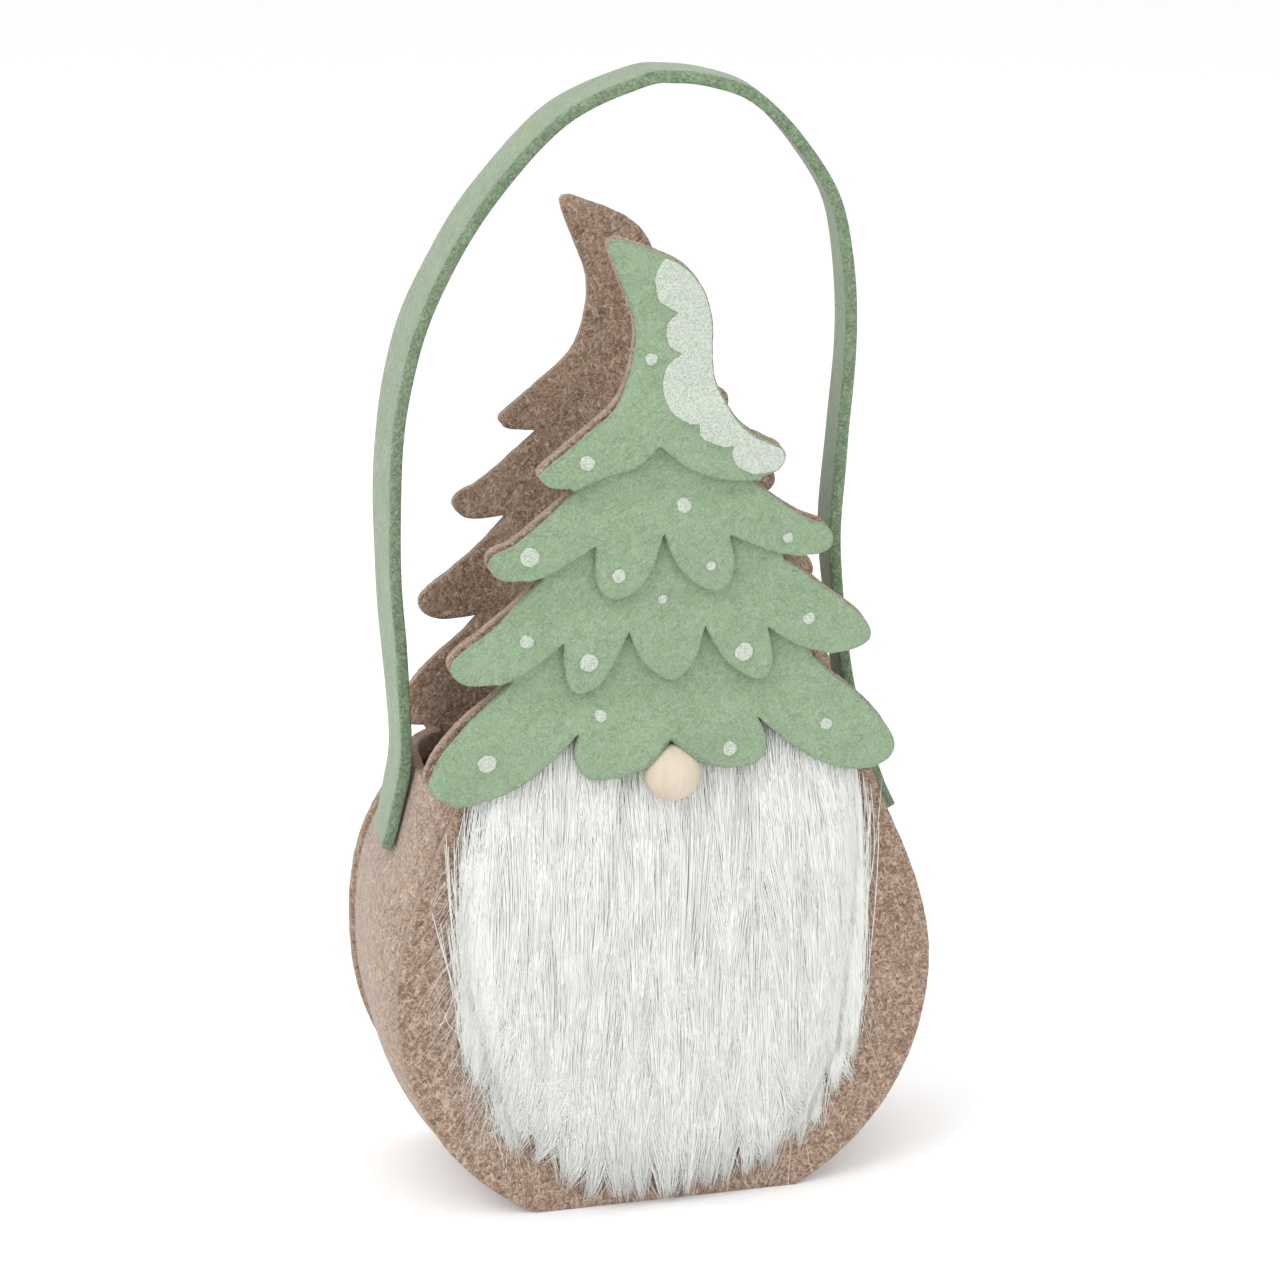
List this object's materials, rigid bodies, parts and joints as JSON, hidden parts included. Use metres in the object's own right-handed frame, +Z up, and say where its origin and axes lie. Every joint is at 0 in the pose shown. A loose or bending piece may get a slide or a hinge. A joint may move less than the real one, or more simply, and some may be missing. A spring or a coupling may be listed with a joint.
{
  "type": "felt gnome gift bag",
  "caption": "Felt gift bag shaped as a gnome, with a layered tree-shaped hat, a bead nose, a long fur beard and an arched strap handle.",
  "frame": {"origin": "middle of the flat base, halfway between the front and the back of the bag", "axes": "+Z up, +X to the viewer's right when the gnome faces the viewer, and the gnome's face looks along -Y"},
  "size_m": [0.176, 0.0825, 0.3433],
  "materials": {
    "brown_felt": "mottled needle felt",
    "green_felt": "smooth needle felt",
    "strap_felt": "thick pressed felt",
    "white_fur": "long silky pile",
    "wood_bead": "plain sanded",
    "white_print": "grainy glitter paint"
  },
  "bodies": {
    "bag": {"front_panel": "brown_felt", "back_panel": "brown_felt", "gusset_strip": "brown_felt", "hat_tier_top": "green_felt", "hat_tier_upper": "green_felt", "hat_tier_lower": "green_felt", "hat_brim": "green_felt", "nose_bead": "wood_bead", "beard": "white_fur", "handle_end_left": "strap_felt", "handle_end_right": "strap_felt"},
    "handle": {"handle_strap": "strap_felt"}
  },
  "joints": [
    {"name": "handle_swing", "type": "hinge", "parent": "bag", "child": "handle", "pos_m": [0, 0, 0.1515], "axis": [1, 0, 0], "range_deg": [-18, 18], "stiffness_Nm_per_rad": 0.08}
  ]
}
